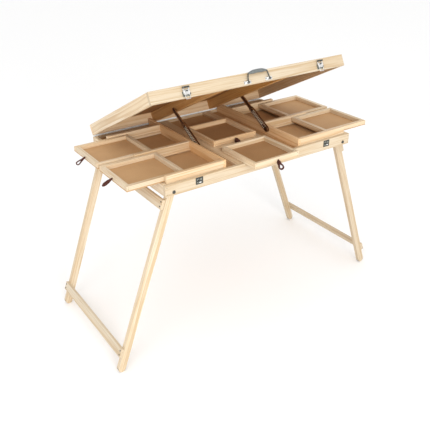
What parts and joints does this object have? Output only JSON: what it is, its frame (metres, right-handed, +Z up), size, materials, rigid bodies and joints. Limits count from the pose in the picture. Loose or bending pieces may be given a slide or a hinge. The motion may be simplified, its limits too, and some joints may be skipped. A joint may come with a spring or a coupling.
{
  "type": "folding box easel table",
  "caption": "Folding wooden artist's easel table: tray case on splayed folding leg frames, with sliding trays and a tilting hinged drawing-board lid.",
  "frame": {"origin": "on the floor under the middle of the whole object as it stands with its trays drawn out", "axes": "+X along the case's length to the right seen from the handle side, +Y from the handle side to the hinge side, +Z up"},
  "size_m": [1.3778, 0.7336, 1.0677],
  "materials": {
    "pine": "clear satin varnish over light pine",
    "hardboard": "smooth brown hardboard",
    "plated_steel": "nickel plated",
    "dark_steel": "blackened",
    "bronzed_steel": "dark antique bronze, worn at the edges",
    "grey_metal": "satin grey",
    "leather": "dark red-brown, smooth"
  },
  "bodies": {
    "case": {"case_front_rail": "pine", "case_rear_rail": "pine", "case_left_end_rail": "pine", "case_right_end_rail": "pine", "case_floor": "hardboard", "left_cabinet_walls": "pine", "right_cabinet_walls": "pine", "tray_runners": "pine", "hinge_lower_leaf": "plated_steel", "leg_bolts": "dark_steel", "catch_plates": "dark_steel", "stay_case_pins": "bronzed_steel"},
    "lid": {"lid_front_rail": "pine", "lid_rear_rail": "pine", "lid_left_rail": "pine", "lid_right_rail": "pine", "lid_panel": "hardboard", "lid_battens": "pine", "hinge_upper_leaf": "plated_steel", "hinge_pin": "plated_steel", "handle_brackets": "plated_steel", "latch_plates": "plated_steel", "stay_lid_pins": "bronzed_steel"},
    "handle": {"handle": "grey_metal"},
    "left_latch_lever": {"left_latch_lever": "plated_steel"},
    "left_latch_loop": {"left_latch_loop": "plated_steel"},
    "left_stay_lower": {"left_stay_lower_arm": "bronzed_steel"},
    "left_stay_upper": {"left_stay_upper_arm": "bronzed_steel"},
    "left_leg_frame": {"left_front_leg": "pine", "left_rear_leg": "pine", "left_upper_stretcher": "pine", "left_lower_stretcher": "pine", "left_leg_screws": "dark_steel"},
    "right_latch_lever": {"right_latch_lever": "plated_steel"},
    "right_latch_loop": {"right_latch_loop": "plated_steel"},
    "right_stay_lower": {"right_stay_lower_arm": "bronzed_steel"},
    "right_stay_upper": {"right_stay_upper_arm": "bronzed_steel"},
    "right_leg_frame": {"right_front_leg": "pine", "right_rear_leg": "pine", "right_upper_stretcher": "pine", "right_lower_stretcher": "pine", "right_leg_screws": "dark_steel"},
    "left_front_tray": {"left_front_tray_frame": "pine", "left_front_tray_floor": "hardboard", "left_front_tray_pull": "leather"},
    "left_rear_tray": {"left_rear_tray_frame": "pine", "left_rear_tray_floor": "hardboard", "left_rear_tray_pull": "leather"},
    "right_front_tray": {"right_front_tray_frame": "pine", "right_front_tray_floor": "hardboard", "right_front_tray_pull": "leather"},
    "right_rear_tray": {"right_rear_tray_frame": "pine", "right_rear_tray_floor": "hardboard", "right_rear_tray_pull": "leather"},
    "centre_front_tray": {"centre_front_tray_frame": "pine", "centre_front_tray_floor": "hardboard", "centre_front_tray_pull": "leather"},
    "centre_rear_tray": {"centre_rear_tray_frame": "pine", "centre_rear_tray_floor": "hardboard", "centre_rear_tray_pull": "leather"}
  },
  "joints": [
    {"name": "lid_tilt", "type": "hinge", "parent": "case", "child": "lid", "pos_m": [0, 0.34843, 0.746], "axis": [-1, 0, 0], "range_deg": [-12, 10]},
    {"name": "left_stay_lower_turn", "type": "hinge", "parent": "case", "child": "left_stay_lower", "pos_m": [-0.1721, -0.04827, 0.761], "axis": [1, 0, 0], "range_deg": [-8.2, 6.9]},
    {"name": "left_stay_upper_turn", "type": "hinge", "parent": "lid", "child": "left_stay_upper", "pos_m": [-0.1721, 0.13573, 0.863], "axis": [1, 0, 0], "range_deg": [-20.2, 16.9]},
    {"name": "right_stay_lower_turn", "type": "hinge", "parent": "case", "child": "right_stay_lower", "pos_m": [0.1721, -0.04827, 0.761], "axis": [1, 0, 0], "range_deg": [-8.2, 6.9]},
    {"name": "right_stay_upper_turn", "type": "hinge", "parent": "lid", "child": "right_stay_upper", "pos_m": [0.1721, 0.13573, 0.863], "axis": [1, 0, 0], "range_deg": [-20.2, 16.9]},
    {"name": "left_front_tray_slide", "type": "slide", "parent": "case", "child": "left_front_tray", "axis": [-1, 0, 0], "range_m": [-0.135, 0]},
    {"name": "left_rear_tray_slide", "type": "slide", "parent": "case", "child": "left_rear_tray", "axis": [-1, 0, 0], "range_m": [-0.135, 0]},
    {"name": "right_front_tray_slide", "type": "slide", "parent": "case", "child": "right_front_tray", "axis": [1, 0, 0], "range_m": [-0.135, 0]},
    {"name": "right_rear_tray_slide", "type": "slide", "parent": "case", "child": "right_rear_tray", "axis": [1, 0, 0], "range_m": [-0.135, 0]},
    {"name": "centre_front_tray_slide", "type": "slide", "parent": "case", "child": "centre_front_tray", "axis": [0, -1, 0], "range_m": [-0.03, 0]},
    {"name": "centre_rear_tray_slide", "type": "slide", "parent": "case", "child": "centre_rear_tray", "axis": [0, -1, 0], "range_m": [-0.176, 0]},
    {"name": "left_legs_fold", "type": "hinge", "parent": "case", "child": "left_leg_frame", "pos_m": [-0.415, 0.04273, 0.715], "axis": [0, -1, 0], "range_deg": [0, 110.2]},
    {"name": "right_legs_fold", "type": "hinge", "parent": "case", "child": "right_leg_frame", "pos_m": [0.415, 0.04273, 0.715], "axis": [0, 1, 0], "range_deg": [0, 110.2]},
    {"name": "handle_swing", "type": "hinge", "parent": "lid", "child": "handle", "pos_m": [0, -0.19662, 1.03253], "axis": [1, 0, 0], "range_deg": [0, 150]},
    {"name": "left_latch_lever_lift", "type": "hinge", "parent": "lid", "child": "left_latch_lever", "pos_m": [-0.308, -0.19277, 1.03395], "axis": [1, 0, 0], "range_deg": [0, 140]},
    {"name": "left_latch_loop_swing", "type": "hinge", "parent": "left_latch_lever", "child": "left_latch_loop", "pos_m": [-0.308, -0.19084, 1.0453], "axis": [-1, 0, 0], "range_deg": [0, 141]},
    {"name": "right_latch_lever_lift", "type": "hinge", "parent": "lid", "child": "right_latch_lever", "pos_m": [0.318, -0.19277, 1.03395], "axis": [1, 0, 0], "range_deg": [0, 140]},
    {"name": "right_latch_loop_swing", "type": "hinge", "parent": "right_latch_lever", "child": "right_latch_loop", "pos_m": [0.318, -0.19084, 1.0453], "axis": [-1, 0, 0], "range_deg": [0, 141]}
  ],
  "couplings": [
    {"joint": "left_stay_lower_turn", "follows": "lid_tilt", "ratio": 0.638},
    {"joint": "left_stay_upper_turn", "follows": "lid_tilt", "ratio": 1.638},
    {"joint": "right_stay_lower_turn", "follows": "lid_tilt", "ratio": 0.638},
    {"joint": "right_stay_upper_turn", "follows": "lid_tilt", "ratio": 1.638},
    {"joint": "left_latch_loop_swing", "follows": "left_latch_lever_lift", "ratio": 1},
    {"joint": "right_latch_loop_swing", "follows": "right_latch_lever_lift", "ratio": 1}
  ]
}
